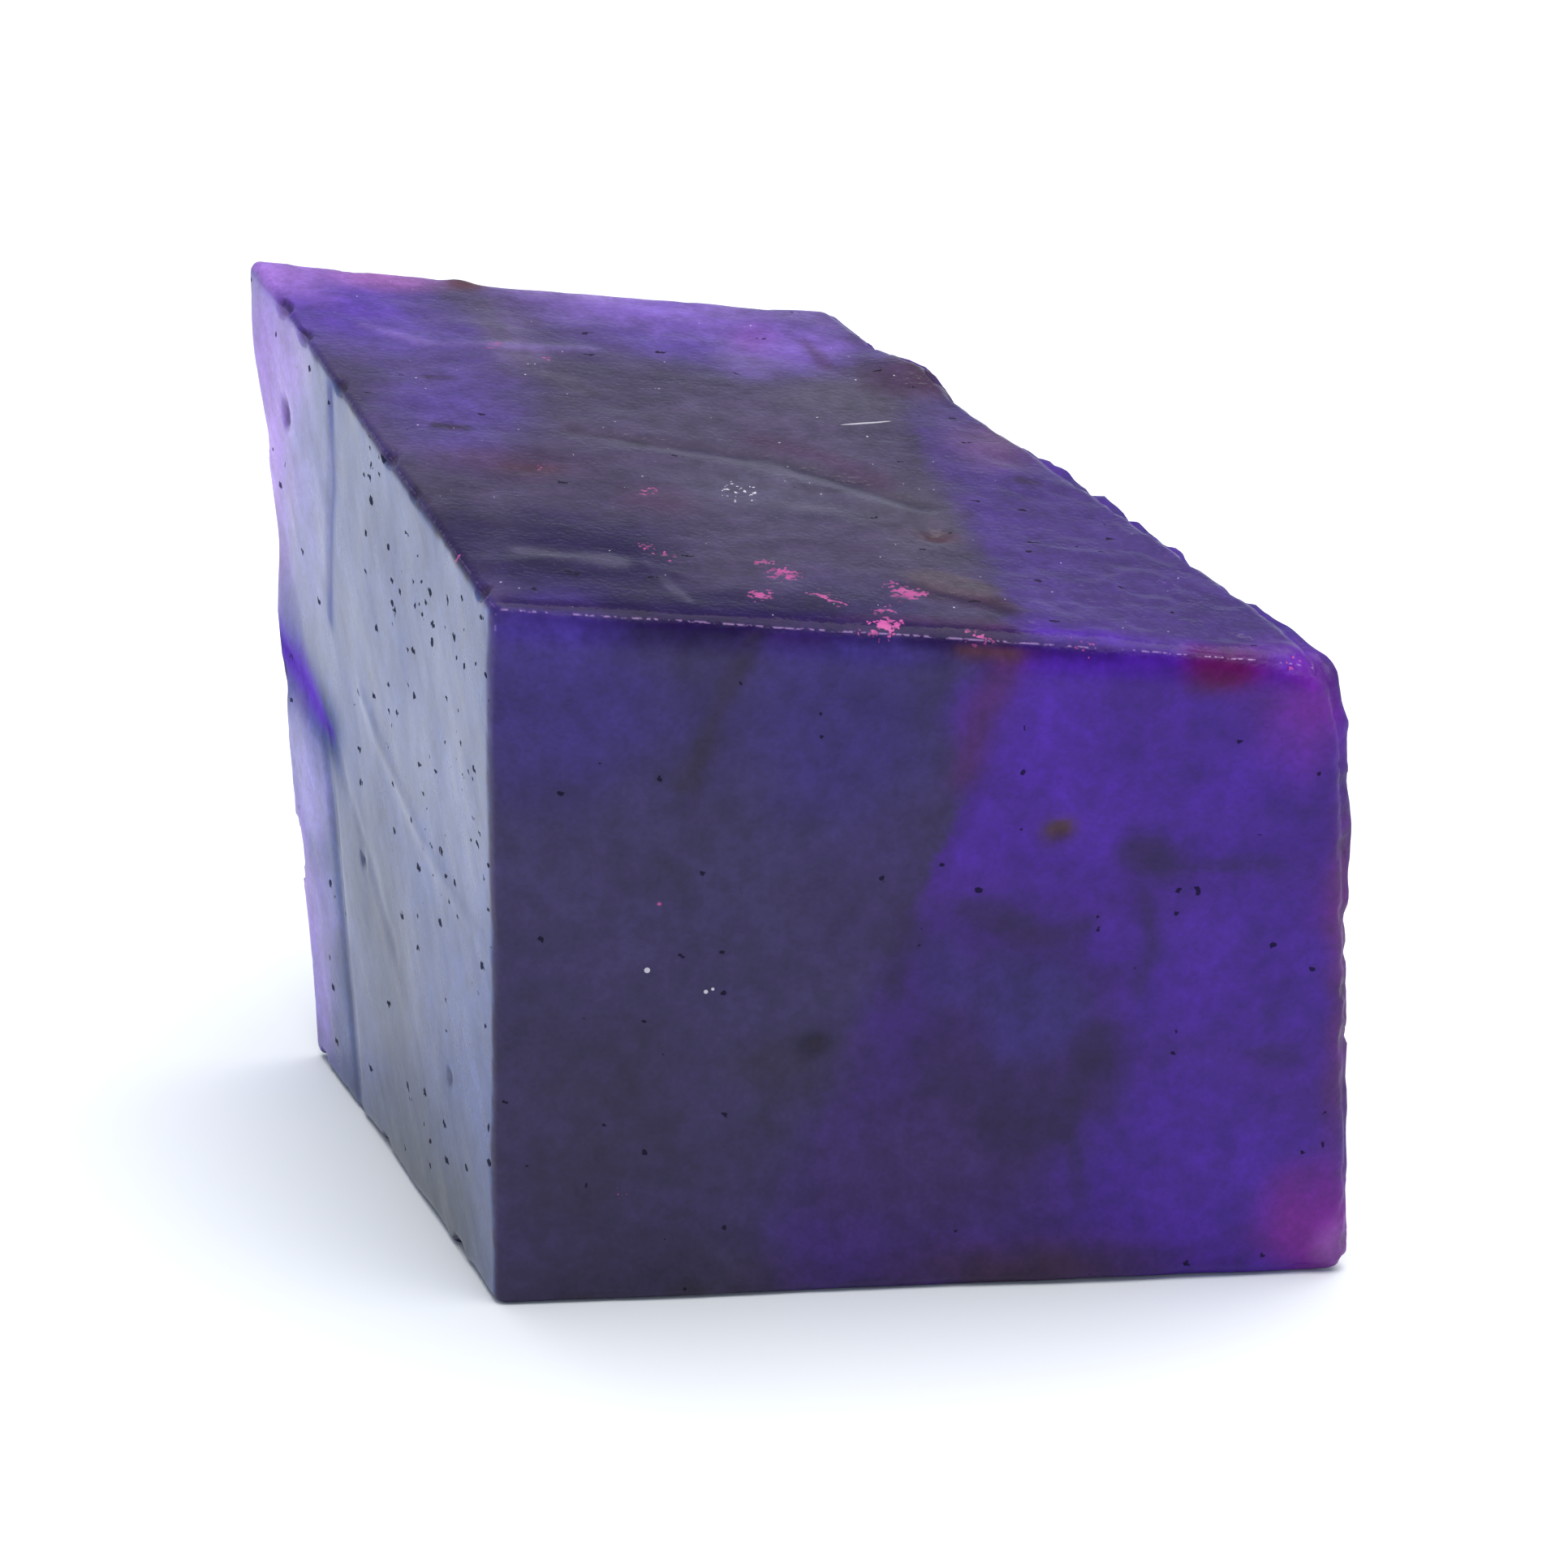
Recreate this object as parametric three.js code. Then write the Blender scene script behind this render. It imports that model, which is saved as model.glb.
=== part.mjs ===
// Raw tanzanite: one sawn block of rough stone, resting on its flat underside.
// Millimetres, +Z up, the sawn front towards -Y, the origin under the middle of the block.
import * as THREE from 'three';
import { ImprovedNoise } from 'three/addons/math/ImprovedNoise.js';
import { mergeVertices } from 'three/addons/utils/BufferGeometryUtils.js';

// The eight corners as the saw left them, before the edges wore. No two edges are parallel: the back
// is undercut, the right side runs in towards the back, and the top falls to the front and the right.
const corner = {
  leftFrontBottom: new THREE.Vector3(-12.0, -15.2, 0),
  rightFrontBottom: new THREE.Vector3(20.0, -15.2, 0),
  leftBackBottom: new THREE.Vector3(-18.6, 7.9, 0),
  rightBackBottom: new THREE.Vector3(8.1, 8.2, 0),
  leftFrontTop: new THREE.Vector3(-11.5, -15.2, 27.1),
  rightFrontTop: new THREE.Vector3(18.7, -15.2, 24.2),
  leftBackTop: new THREE.Vector3(-20.4, 15.3, 31.6),
  rightBackTop: new THREE.Vector3(2.8, 15.0, 29.2),
};

// Surface grid: cells along each side of the block, closer together towards the edges.
const cells = { x: 21, y: 21, z: 19 };
const halfSide = { x: 14.5, y: 14, z: 14 };

// Wear on the edges: the left ones are crisp, the right ones rounder, and the upper right corner of the
// front is worn most, from a share of the way out to it along each side.
const edgeRadius = { left: 0.45, right: 0.85, unevenness: 0.18, patchLength: 3.0 };
const wornCorner = { more: 0.9, from: 0.72 };

// Slow hollows and swells over the sawn faces.
const swell = { height: 0.16, length: 11, fineHeight: 0.06, fineLength: 3.6 };

// Flake lost from the lower back of the left side. The break runs down a shallow fold, flares out again
// from there to the back edge, and ends above at a rim with a ledge under it that deepens to the back.
// Facing gives the share of a normal's turn to the left from which the flake starts, and is whole.
const flake = {
  facing: [0.2, 0.7],
  foldFoot: { y: 2.0, z: 0 },
  foldTop: { y: 5.6, z: 15.0 },
  groove: { depth: 0.1, halfWidth: 0.4 },
  flare: 0.035,
  rim: { y: 5.3, z: 15.2, rise: 0.22, softness: 0.5 },
  ledge: { depth: 0.34, runIn: 5, width: 0.15, widening: 0.16, below: 0.8 },
};

// Rounded lumps that stand out where the saw missed: place, reach and height.
const lumps = [
  { at: [6.2, 8.8, 28.2], reach: 3.2, height: 0.4 },
  { at: [-20.2, 15.0, 28.4], reach: 4.0, height: 0.25 },
  { at: [-19.5, 12.2, 17.2], reach: 3.6, height: 0.3 },
  { at: [-12.0, 15.4, 30.6], reach: 1.1, height: 0.22 },
  { at: [11.0, -1.5, 17.0], reach: 6.0, height: 0.35 },
];

// Pits and craters in each face: two coordinates on the face, the mouth's radius and the depth.
const pits = {
  front: [
    [8.5, 18.2, 0.45, 0.18], [-0.2, 10.1, 0.4, 0.12],
  ],
  left: [
    [10.6, 26.6, 0.36, 0.08], [1.0, 11.3, 0.26, 0.08], [-10.0, 6.9, 0.26, 0.08],
  ],
  top: [
    [4.9, -6.9, 0.55, 0.14], [-9.8, -3.1, 0.55, 0.1], [-13.0, 4.8, 0.4, 0.1], [-12.7, 0.2, 0.45, 0.12],
  ],
  right: [
    [-6.0, 16.5, 1.6, 0.5], [3.5, 21.0, 1.2, 0.45], [-10.5, 7.0, 1.4, 0.45],
    [1.5, 8.0, 2.0, 0.6], [-3.0, 22.5, 0.7, 0.35],
  ],
  back: [[-9.0, 20.0, 0.6, 0.3], [-2.5, 12.0, 0.9, 0.35], [-13.5, 8.5, 0.5, 0.3], [1.0, 24.0, 0.7, 0.3]],
};

// Notches in two upright edges: height, mouth radius and depth.
const notches = {
  rightFront: [[14.1, 0.6, 0.22], [9.5, 0.8, 0.32], [7.8, 0.6, 0.26], [21.3, 0.5, 0.18], [18.4, 0.6, 0.2]],
  leftBack: [[8.2, 1.2, 0.5], [24.4, 0.7, 0.2]],
};

// Small chips scattered along each edge: how many, their mouth radius and their depth.
const chippedEdges = [
  { from: 'rightFrontTop', to: 'rightBackTop', count: 18, radius: 0.4, depth: 0.1 },
  { from: 'rightFrontBottom', to: 'rightFrontTop', count: 10, radius: 0.5, depth: 0.17 },
  { from: 'leftBackTop', to: 'rightBackTop', count: 5, radius: 0.36, depth: 0.07 },
  { from: 'leftFrontTop', to: 'leftBackTop', count: 6, radius: 0.32, depth: 0.06 },
  { from: 'rightFrontBottom', to: 'rightBackBottom', count: 8, radius: 0.9, depth: 0.3 },
  { from: 'rightBackBottom', to: 'rightBackTop', count: 9, radius: 0.9, depth: 0.32 },
  { from: 'leftBackBottom', to: 'rightBackBottom', count: 6, radius: 0.8, depth: 0.28 },
  { from: 'leftFrontBottom', to: 'leftBackBottom', count: 3, radius: 0.5, depth: 0.15 },
];

// How far a chip's middle lies inside the unworn edge, and the share of an edge that stays whole at each end.
const chipInset = { upright: 0.25, scattered: 0.3 };
const wholeEnd = 0.04;

// Cells at a pit or a chip are a share of its mouth radius, down to a shortest edge.
const cellsAtScoop = { share: 0.9, shortest: 0.6 };

const faceCorners = {
  front: ['leftFrontBottom', 'rightFrontBottom', 'leftFrontTop'],
  left: ['leftBackBottom', 'leftFrontBottom', 'leftFrontTop'],
  top: ['leftFrontTop', 'rightFrontTop', 'leftBackTop'],
  right: ['rightFrontBottom', 'rightBackBottom', 'rightFrontTop'],
  back: ['rightBackBottom', 'leftBackBottom', 'rightBackTop'],
};
const facePlane = Object.fromEntries(Object.entries(faceCorners).map(([name, three]) => [
  name, new THREE.Plane().setFromCoplanarPoints(...three.map((key) => corner[key])),
]));
const middle = Object.values(corner)
  .reduce((sum, point) => sum.add(point), new THREE.Vector3())
  .multiplyScalar(1 / 8);

const noise = new ImprovedNoise();
const noiseAt = (p, length, layer) => noise.noise(p.x / length + layer, p.y / length, p.z / length);

// A repeatable random number from 0 to 1.
let seed = 20260;
function random() {
  seed = (seed * 16807) % 2147483647;
  return seed / 2147483647;
}

// A point of the cube from -1 to 1, carried into the block by its eight corners.
function inBlock(cube) {
  const [s, t, r] = [cube.x, cube.y, cube.z].map((value) => (value + 1) / 2);
  const along = (a, b, amount) => new THREE.Vector3().lerpVectors(a, b, amount);
  const layer = (level) => along(
    along(corner['leftFront' + level], corner['rightFront' + level], s),
    along(corner['leftBack' + level], corner['rightBack' + level], s),
    t,
  );
  return along(layer('Bottom'), layer('Top'), r);
}

// The same point with the cube's edges worn round.
function worn(cube) {
  const rough = inBlock(cube);
  const uneven = edgeRadius.unevenness * noiseAt(rough, edgeRadius.patchLength, 7);
  const near = [cube.x, -cube.y, cube.z].map((way) => THREE.MathUtils.smoothstep(way, wornCorner.from, 1));
  const radius = THREE.MathUtils.lerp(edgeRadius.left, edgeRadius.right, (cube.x + 1) / 2)
    + uneven + wornCorner.more * near[0] * near[1] * near[2];
  const size = new THREE.Vector3(halfSide.x, halfSide.y, halfSide.z);
  const inMm = cube.clone().multiply(size);
  const limit = size.clone().subScalar(radius);
  const inner = inMm.clone().clamp(limit.clone().negate(), limit);
  const arm = inMm.sub(inner).setLength(radius);
  return inBlock(inner.add(arm).divide(size));
}

// The point of a face plane that lies straight above, behind or beside two coordinates.
function onFace(face, first, second) {
  const plane = facePlane[face];
  const { normal, constant } = plane;
  if (face === 'top') {
    return new THREE.Vector3(first, second, -(constant + normal.x * first + normal.y * second) / normal.z);
  }
  if (face === 'front' || face === 'back') {
    return new THREE.Vector3(first, -(constant + normal.x * first + normal.z * second) / normal.y, second);
  }
  return new THREE.Vector3(-(constant + normal.y * first + normal.z * second) / normal.x, first, second);
}

// A scoop is the ball whose cap has this mouth radius and depth, set into the surface at a point.
function scoop(at, outward, mouth, depth) {
  const radius = (mouth * mouth + depth * depth) / (2 * depth);
  return { at, mouth, radius, centre: at.clone().addScaledVector(outward, radius - depth) };
}

function allScoops() {
  const outwardFrom = (point) => point.clone().sub(middle).setZ(0).normalize();
  const inFaces = Object.entries(pits).flatMap(([face, list]) => list.map(
    ([first, second, mouth, depth]) => {
      const at = onFace(face, first, second);
      return scoop(at, facePlane[face].normal, mouth, depth);
    },
  ));
  const onUpright = Object.entries(notches).flatMap(([side, list]) => list.map(([height, mouth, depth]) => {
    const [low, high] = [corner[side + 'Bottom'], corner[side + 'Top']];
    const at = new THREE.Vector3().lerpVectors(low, high, height / high.z);
    const outward = outwardFrom(at);
    return scoop(at.addScaledVector(outward, -chipInset.upright), outward, mouth, depth);
  }));
  const scattered = chippedEdges.flatMap(({ from, to, count, radius, depth }) => {
    return Array.from({ length: count }, (_, index) => {
      const along = THREE.MathUtils.lerp(wholeEnd, 1 - wholeEnd, (index + random()) / count);
      const at = new THREE.Vector3().lerpVectors(corner[from], corner[to], along);
      const outward = at.clone().sub(middle).normalize();
      const scale = 0.6 + 0.8 * random();
      at.addScaledVector(outward, -chipInset.scattered);
      return scoop(at, outward, radius * scale, depth * scale);
    });
  });
  return [...inFaces, ...onUpright, ...scattered];
}
const scoops = allScoops();

// Halves triangles across their longest edge until no edge is longer than wanted, and until no edge
// that one triangle has halved is left whole in its neighbour.
function refine(points, triangles, wanted) {
  const halves = new Map();
  const keyOf = (i, j) => `${Math.min(i, j)},${Math.max(i, j)}`;
  const halfWay = (i, j) => points[i].clone().add(points[j]).multiplyScalar(0.5);
  const half = (i, j) => {
    if (!halves.has(keyOf(i, j))) {
      halves.set(keyOf(i, j), points.length);
      points.push(halfWay(i, j));
    }
    return halves.get(keyOf(i, j));
  };
  const length = (i, j) => worn(points[i]).distanceTo(worn(points[j]));
  const unfit = (i, j) => halves.has(keyOf(i, j)) || length(i, j) > wanted(worn(halfWay(i, j)));
  const split = ([a, b, c]) => {
    const turns = [[a, b, c], [b, c, a], [c, a, b]];
    if (!turns.some(([i, j]) => unfit(i, j))) return [[a, b, c]];
    const lengths = turns.map(([i, j]) => length(i, j));
    const [i, j, k] = turns[lengths.indexOf(Math.max(...lengths))];
    return [[i, half(i, j), k], [half(i, j), j, k]];
  };
  let [before, after] = [triangles, triangles.flatMap(split)];
  while (after.length > before.length) [before, after] = [after, after.flatMap(split)];
  return after;
}

function wantedLength(point) {
  const reached = scoops.filter(({ at, mouth }) => point.distanceTo(at) < mouth);
  const lengths = reached.map(({ mouth }) => Math.max(cellsAtScoop.shortest, cellsAtScoop.share * mouth));
  return Math.min(Infinity, ...lengths);
}

const bump = (distance, reach) => (1 - Math.min(distance / reach, 1) ** 2) ** 2;

// How far the surface stands off the worn block at a point.
function relief(point, normal) {
  const offBottom = THREE.MathUtils.smoothstep(normal.z, -0.95, -0.5);
  const slow = swell.height * noiseAt(point, swell.length, 0);
  const fine = swell.fineHeight * noiseAt(point, swell.fineLength, 3);
  const lumpy = lumps.reduce((sum, { at, reach, height }) => (
    sum + height * bump(point.distanceTo(new THREE.Vector3(...at)), reach)
  ), 0);
  return offBottom * (slow + fine + lumpy);
}

// How deep the broken surface of the flake lies under the left side at a point.
function flakeDepth(point, normal) {
  const { facing, foldFoot, foldTop, groove, flare, rim, ledge } = flake;
  const onLeft = THREE.MathUtils.smoothstep(-normal.x, ...facing);
  const foldY = THREE.MathUtils.mapLinear(point.z, foldFoot.z, foldTop.z, foldFoot.y, foldTop.y);
  const behind = point.y - foldY;
  const past = Math.max(point.y - rim.y, 0);
  const under = rim.z + rim.rise * past - point.z;
  const broken = THREE.MathUtils.smoothstep(under, 0, rim.softness);
  const fold = groove.depth * Math.exp(-((behind / groove.halfWidth) ** 2)) - flare * Math.max(behind, 0);
  const width = ledge.width + ledge.widening * past;
  const shelf = Math.exp(-((under / width - ledge.below) ** 2)) * Math.min(past / ledge.runIn, 1);
  return onLeft * (broken * fold + ledge.depth * shelf);
}

// Pushes a point that lies in a scoop back along the normal to the scoop's wall.
function scooped(point, normal) {
  for (const { centre, radius } of scoops) {
    const arm = point.clone().sub(centre);
    const inside = radius * radius - arm.lengthSq();
    if (inside <= 0) continue;
    const rise = arm.dot(normal);
    point.addScaledVector(normal, -(rise + Math.sqrt(rise * rise + inside)));
  }
  return point;
}

function tanzaniteGeometry() {
  const grid = new THREE.BoxGeometry(2, 2, 2, cells.x, cells.y, cells.z);
  grid.deleteAttribute('normal');
  grid.deleteAttribute('uv');
  const box = mergeVertices(grid);
  const position = box.getAttribute('position');
  const closer = (value) => Math.sin((value * Math.PI) / 2);
  const cubePoints = Array.from({ length: position.count }, (_, index) => {
    const { x, y, z } = new THREE.Vector3().fromBufferAttribute(position, index);
    return new THREE.Vector3(closer(x), closer(y), closer(z));
  });
  const corners = Array.from(box.index.array);
  const triangles = Array.from({ length: corners.length / 3 }, (_, index) => (
    corners.slice(3 * index, 3 * index + 3)
  ));
  const faces = refine(cubePoints, triangles, wantedLength);

  const block = new THREE.BufferGeometry().setFromPoints(cubePoints.map(worn));
  block.setIndex(faces.flat());
  block.computeVertexNormals();
  const { position: wornPosition, normal: wornNormal } = block.attributes;
  for (let index = 0; index < wornPosition.count; index += 1) {
    const point = new THREE.Vector3().fromBufferAttribute(wornPosition, index);
    const normal = new THREE.Vector3().fromBufferAttribute(wornNormal, index);
    point.addScaledVector(normal, relief(point, normal) - flakeDepth(point, normal));
    wornPosition.setXYZ(index, ...scooped(point, normal).toArray());
  }
  block.deleteAttribute('normal');
  block.computeBoundingBox();
  const { min, max } = block.boundingBox;
  return block.translate(-(min.x + max.x) / 2, -(min.y + max.y) / 2, -min.z);
}

const tanzanite = new THREE.Mesh(
  tanzaniteGeometry(),
  new THREE.MeshStandardMaterial({ color: '#3b2a78', roughness: 0.4, metalness: 0, flatShading: true }),
);
tanzanite.name = 'tanzanite_block';

const group = new THREE.Group();
group.add(tanzanite);
export default group;
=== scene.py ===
import math
import bpy
import numpy as np
from functools import partial
from mathutils import Euler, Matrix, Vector, noise
from numpy.linalg import norm


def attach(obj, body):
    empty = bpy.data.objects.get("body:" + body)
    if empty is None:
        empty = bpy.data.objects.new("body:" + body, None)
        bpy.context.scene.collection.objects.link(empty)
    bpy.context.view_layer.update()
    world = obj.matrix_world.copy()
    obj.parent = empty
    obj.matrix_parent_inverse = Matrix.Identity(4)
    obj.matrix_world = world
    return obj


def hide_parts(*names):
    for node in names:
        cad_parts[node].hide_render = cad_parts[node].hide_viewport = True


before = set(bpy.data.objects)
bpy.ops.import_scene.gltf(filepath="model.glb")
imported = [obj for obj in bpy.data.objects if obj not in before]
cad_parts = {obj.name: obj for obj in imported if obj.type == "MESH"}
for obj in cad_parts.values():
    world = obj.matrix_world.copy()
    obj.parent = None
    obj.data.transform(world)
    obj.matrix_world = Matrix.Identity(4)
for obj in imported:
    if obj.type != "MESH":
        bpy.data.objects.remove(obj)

mm = 0.001
scene = bpy.context.scene
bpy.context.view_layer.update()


def linear(hexColour, alpha=1):
    # sRGB hex to the linear values that the sockets take
    parts = [int(hexColour[i:i + 2], 16) / 255 for i in (1, 3, 5)]
    return [p / 12.92 if p <= 0.04045 else ((p + 0.055) / 1.055) ** 2.4 for p in parts] + [alpha]


fromEnds, toEnds = ("From Min", "From Max"), ("To Min", "To Max")


def feed(tree, node, inputs):
    # an input takes a value, or a socket to be linked from; inputs named together take their values together
    for key, value in inputs.items():
        if isinstance(value, bpy.types.NodeSocket):
            tree.links.new(value, node.inputs[key])
        elif isinstance(key, tuple):
            for name, part in zip(key, value):
                node.inputs[name].default_value = part
        else:
            node.inputs[key].default_value = value


def addNode(tree, kind, inputs, out=0, **settings):
    # adds a node with its settings and links, and gives back one of its outputs
    made = tree.nodes.new("ShaderNode" + kind)
    for name, value in settings.items():
        setattr(made, name, value)
    feed(tree, made, inputs)
    return made.outputs[out]


def addObject(name, data):
    made = bpy.data.objects.new(name, data)
    scene.collection.objects.link(made)
    return made


def noiseAt(points, length, number):
    # smooth noise from -1 to 1, one value a point; length is the size of its lumps in mm, one or three
    scaled = points / np.array(length)
    return np.array([noise.noise(Vector((x + number, y - number, z))) for x, y, z in scaled])


def smooth(values, start, full):
    # 0 up to start and 1 from full on, softly in between; full may be the smaller of the two
    t = np.clip((values - start) / (full - start), 0, 1)
    return t * t * (3 - 2 * t)


# The block, in mm. The corners are where the saw cuts would meet if no edge had worn.

block = {
    "corners": {
        "leftFrontBottom": (-12, -15.2, 0), "rightFrontBottom": (20, -15.2, 0),
        "leftBackBottom": (-18.6, 7.9, 0), "rightBackBottom": (8.1, 8.2, 0),
        "leftFrontTop": (-11.5, -15.2, 27.1), "rightFrontTop": (18.7, -15.2, 24.2),
        "leftBackTop": (-20.4, 15.3, 31.6), "rightBackTop": (2.8, 15, 29.2),
    },
    "cells": (136, 132, 118),       # quads along each side, under 200,000 triangles in all
    "evenness": 0.4,                # 1 spaces the cells evenly, less crowds them to the edges
    "halfSide": (14.5, 14, 14),
    "edgeRadius": {"left": 0.45, "right": 0.85, "uneven": 0.18, "patch": 3},
    "wornCorner": {"more": 0.9, "from": 0.72},      # the upper right corner of the front
    "faceShare": (0.75, 0.97),      # how squarely a point looks out of a face: not of it, and wholly of it
    "rightShare": (0.2, 0.9),       # from the middle of the cube to its right
}
corner = {name: np.array(place) for name, place in block["corners"].items()}
middle = sum(corner.values()) / len(corner)

# The sheet of noise that each use reads. Any numbers do, if they differ.
sheet = {
    "swell": 0, "fineSwell": 3, "edge": 7, "grain": 11, "wander": 21, "pocks": 31, "shells": 41,
    "bite": 51, "fineBite": 57, "pale": 61, "dyeEnd": 71,
}


def cubeSkin(cells):
    # the skin of a box of cells: grid places from 0 to the cell count, and outward quads
    size = [n + 1 for n in cells]
    places = np.indices(size)
    onSkin = np.zeros(size, bool)
    for axis, n in enumerate(cells):
        onSkin |= (places[axis] == 0) | (places[axis] == n)
    number = np.full(size, -1)
    number[onSkin] = np.arange(onSkin.sum())
    quads = []
    for axis in range(3):
        for end in (0, -1):
            side = number.take(end, axis=axis)
            a, b, c, d = side[:-1, :-1], side[1:, :-1], side[1:, 1:], side[:-1, 1:]
            outward = (end == -1) != (axis == 1)
            order = (a, b, c, d) if outward else (a, d, c, b)
            quads.append(np.stack(order, axis=-1).reshape(-1, 4))
    return np.argwhere(onSkin), np.concatenate(quads)


def inBlock(cube):
    # a point of the cube from -1 to 1, carried into the block by its corners
    s, t, r = [((cube[:, i] + 1) / 2)[:, None] for i in range(3)]
    levels = []
    for level in ("Bottom", "Top"):
        front = corner["leftFront" + level] * (1 - s) + corner["rightFront" + level] * s
        back = corner["leftBack" + level] * (1 - s) + corner["rightBack" + level] * s
        levels.append(front * (1 - t) + back * t)
    return levels[0] * (1 - r) + levels[1] * r


def worn(cube):
    # the cube with its edges rounded by wear, carried into the block
    wear = block["edgeRadius"]
    size = np.array(block["halfSide"])
    uneven = wear["uneven"] * noiseAt(inBlock(cube), wear["patch"], sheet["edge"])
    near = smooth(cube * (1, -1, 1), block["wornCorner"]["from"], 1).prod(axis=1)
    radius = wear["left"] + (wear["right"] - wear["left"]) * (cube[:, 0] + 1) / 2 + uneven
    radius += block["wornCorner"]["more"] * near
    limit = size - radius[:, None]
    inner = np.clip(cube * size, -limit, limit)
    arm = cube * size - inner
    arm *= (radius / norm(arm, axis=1))[:, None]
    return inBlock((inner + arm) / size)


def normalsOf(points, quads):
    across = points[quads[:, 2]] - points[quads[:, 0]]
    other = points[quads[:, 3]] - points[quads[:, 1]]
    face = np.cross(across, other)
    total = np.zeros_like(points)
    for k in range(4):
        for axis in range(3):
            total[:, axis] += np.bincount(quads[:, k], face[:, axis], len(points))
    return total / norm(total, axis=1)[:, None]


faceCorners = {
    "front": ("leftFrontBottom", "rightFrontBottom", "leftFrontTop"),
    "left": ("leftBackBottom", "leftFrontBottom", "leftFrontTop"),
    "top": ("leftFrontTop", "rightFrontTop", "leftBackTop"),
    "right": ("rightFrontBottom", "rightBackBottom", "rightFrontTop"),
    "back": ("rightBackBottom", "leftBackBottom", "rightBackTop"),
}
faceNormal, faceOffset = {}, {}
for faceName, (first, second, third) in faceCorners.items():
    across = np.cross(corner[second] - corner[first], corner[third] - corner[first])
    faceNormal[faceName] = across / norm(across)
    faceOffset[faceName] = faceNormal[faceName] @ corner[first]


def onFace(face, first, second):
    # the point of a face's plane with these two coordinates: x z in front, y z at the sides, x y on top
    free = {"top": 2, "front": 1, "back": 1, "left": 0, "right": 0}[face]
    point = np.insert(np.array([first, second], float), free, 0)
    point[free] = (faceOffset[face] - faceNormal[face] @ point) / faceNormal[face][free]
    return point


# Chips and pits are scoops: each is a ball set into the surface by its mouth radius and depth.
chips = {
    "pits": {  # two coordinates on the face, mouth radius, depth
        "front": [(8.5, 18.2, 0.45, 0.18), (-0.2, 10.1, 0.4, 0.12)],
        "left": [(10.6, 26.6, 0.36, 0.08), (1, 11.3, 0.26, 0.08), (-10, 6.9, 0.26, 0.08)],
        "top": [(4.9, -6.9, 0.55, 0.14), (-9.8, -3.1, 0.55, 0.1),
                (-13, 4.8, 0.4, 0.1), (-12.7, 0.2, 0.45, 0.12)],
        "right": [(-6, 16.5, 1.6, 0.5), (3.5, 21, 1.2, 0.45), (-10.5, 7, 1.4, 0.45),
                  (1.5, 8, 2, 0.6), (-3, 22.5, 0.7, 0.35)],
        "back": [(-9, 20, 0.6, 0.3), (-2.5, 12, 0.9, 0.35),
                 (-13.5, 8.5, 0.5, 0.3), (1, 24, 0.7, 0.3)],
    },
    "notches": {  # height on an upright edge, mouth radius, depth
        "rightFront": [(14.1, 0.6, 0.22), (9.5, 0.8, 0.32), (7.8, 0.6, 0.26),
                       (21.3, 0.5, 0.18), (18.4, 0.6, 0.2)],
        "leftBack": [(8.2, 1.2, 0.5), (24.4, 0.7, 0.2)],
    },
    "edges": [  # from, to, how many, mouth radius, depth
        ("rightFrontTop", "rightBackTop", 18, 0.4, 0.1),
        ("rightFrontBottom", "rightFrontTop", 10, 0.5, 0.17),
        ("leftBackTop", "rightBackTop", 5, 0.36, 0.07),
        ("leftFrontTop", "leftBackTop", 6, 0.32, 0.06),
        ("rightFrontBottom", "rightBackBottom", 8, 0.9, 0.3),
        ("rightBackBottom", "rightBackTop", 9, 0.9, 0.32),
        ("leftBackBottom", "rightBackBottom", 6, 0.8, 0.28),
        ("leftFrontBottom", "leftBackBottom", 3, 0.5, 0.15),
    ],
    "inset": {"upright": 0.25, "scattered": 0.3},   # how far the worn edge lies inside the sharp one
    "wholeEnd": 0.04,               # the share of an edge that stays whole at each end
    "sizes": (0.6, 1.4),            # the least and the most of the row's own size
    "ragged": [(0.09, 0.55), (0.04, 0.3)],          # how uneven the balls are, and over what length
    "wholeCut": 0.12,               # a point pushed in this far counts as wholly cut
    "seed": 20260,
}


def scoop(at, outward, mouth, depth):
    radius = (mouth * mouth + depth * depth) / (2 * depth)
    return at + outward * (radius - depth), radius


def nextShare(seed):
    # the next number of a fixed random row, and where it lies from 0 to 1
    seed = seed * 16807 % 2147483647
    return seed, seed / 2147483647


def allScoops():
    made = []
    for face, pits in chips["pits"].items():
        made += [scoop(onFace(face, a, b), faceNormal[face], mouth, depth) for a, b, mouth, depth in pits]
    for side, notches in chips["notches"].items():
        low, high = corner[side + "Bottom"], corner[side + "Top"]
        for height, mouth, depth in notches:
            at = low + (high - low) * height / high[2]
            outward = (at - middle) * (1, 1, 0)
            outward /= norm(outward)
            made.append(scoop(at - outward * chips["inset"]["upright"], outward, mouth, depth))
    seed, end = chips["seed"], chips["wholeEnd"]
    least, most = chips["sizes"]
    for first, last, count, mouth, depth in chips["edges"]:
        for index in range(count):
            seed, share = nextShare(seed)
            along = end + (1 - 2 * end) * (index + share) / count
            at = corner[first] + (corner[last] - corner[first]) * along
            outward = (at - middle) / norm(at - middle)
            seed, share = nextShare(seed)
            scale = least + (most - least) * share
            at = at - outward * chips["inset"]["scattered"]
            made.append(scoop(at, outward, mouth * scale, depth * scale))
    return made


lumps = [  # at, reach, height
    ((6.2, 8.8, 28.2), 3.2, 0.4),
    ((-20.2, 15, 28.4), 4, 0.25),
    ((-19.5, 12.2, 17.2), 3.6, 0.3),
    ((-12, 15.4, 30.6), 1.1, 0.22),
    ((11, -1.5, 17), 6, 0.35),
]

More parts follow.
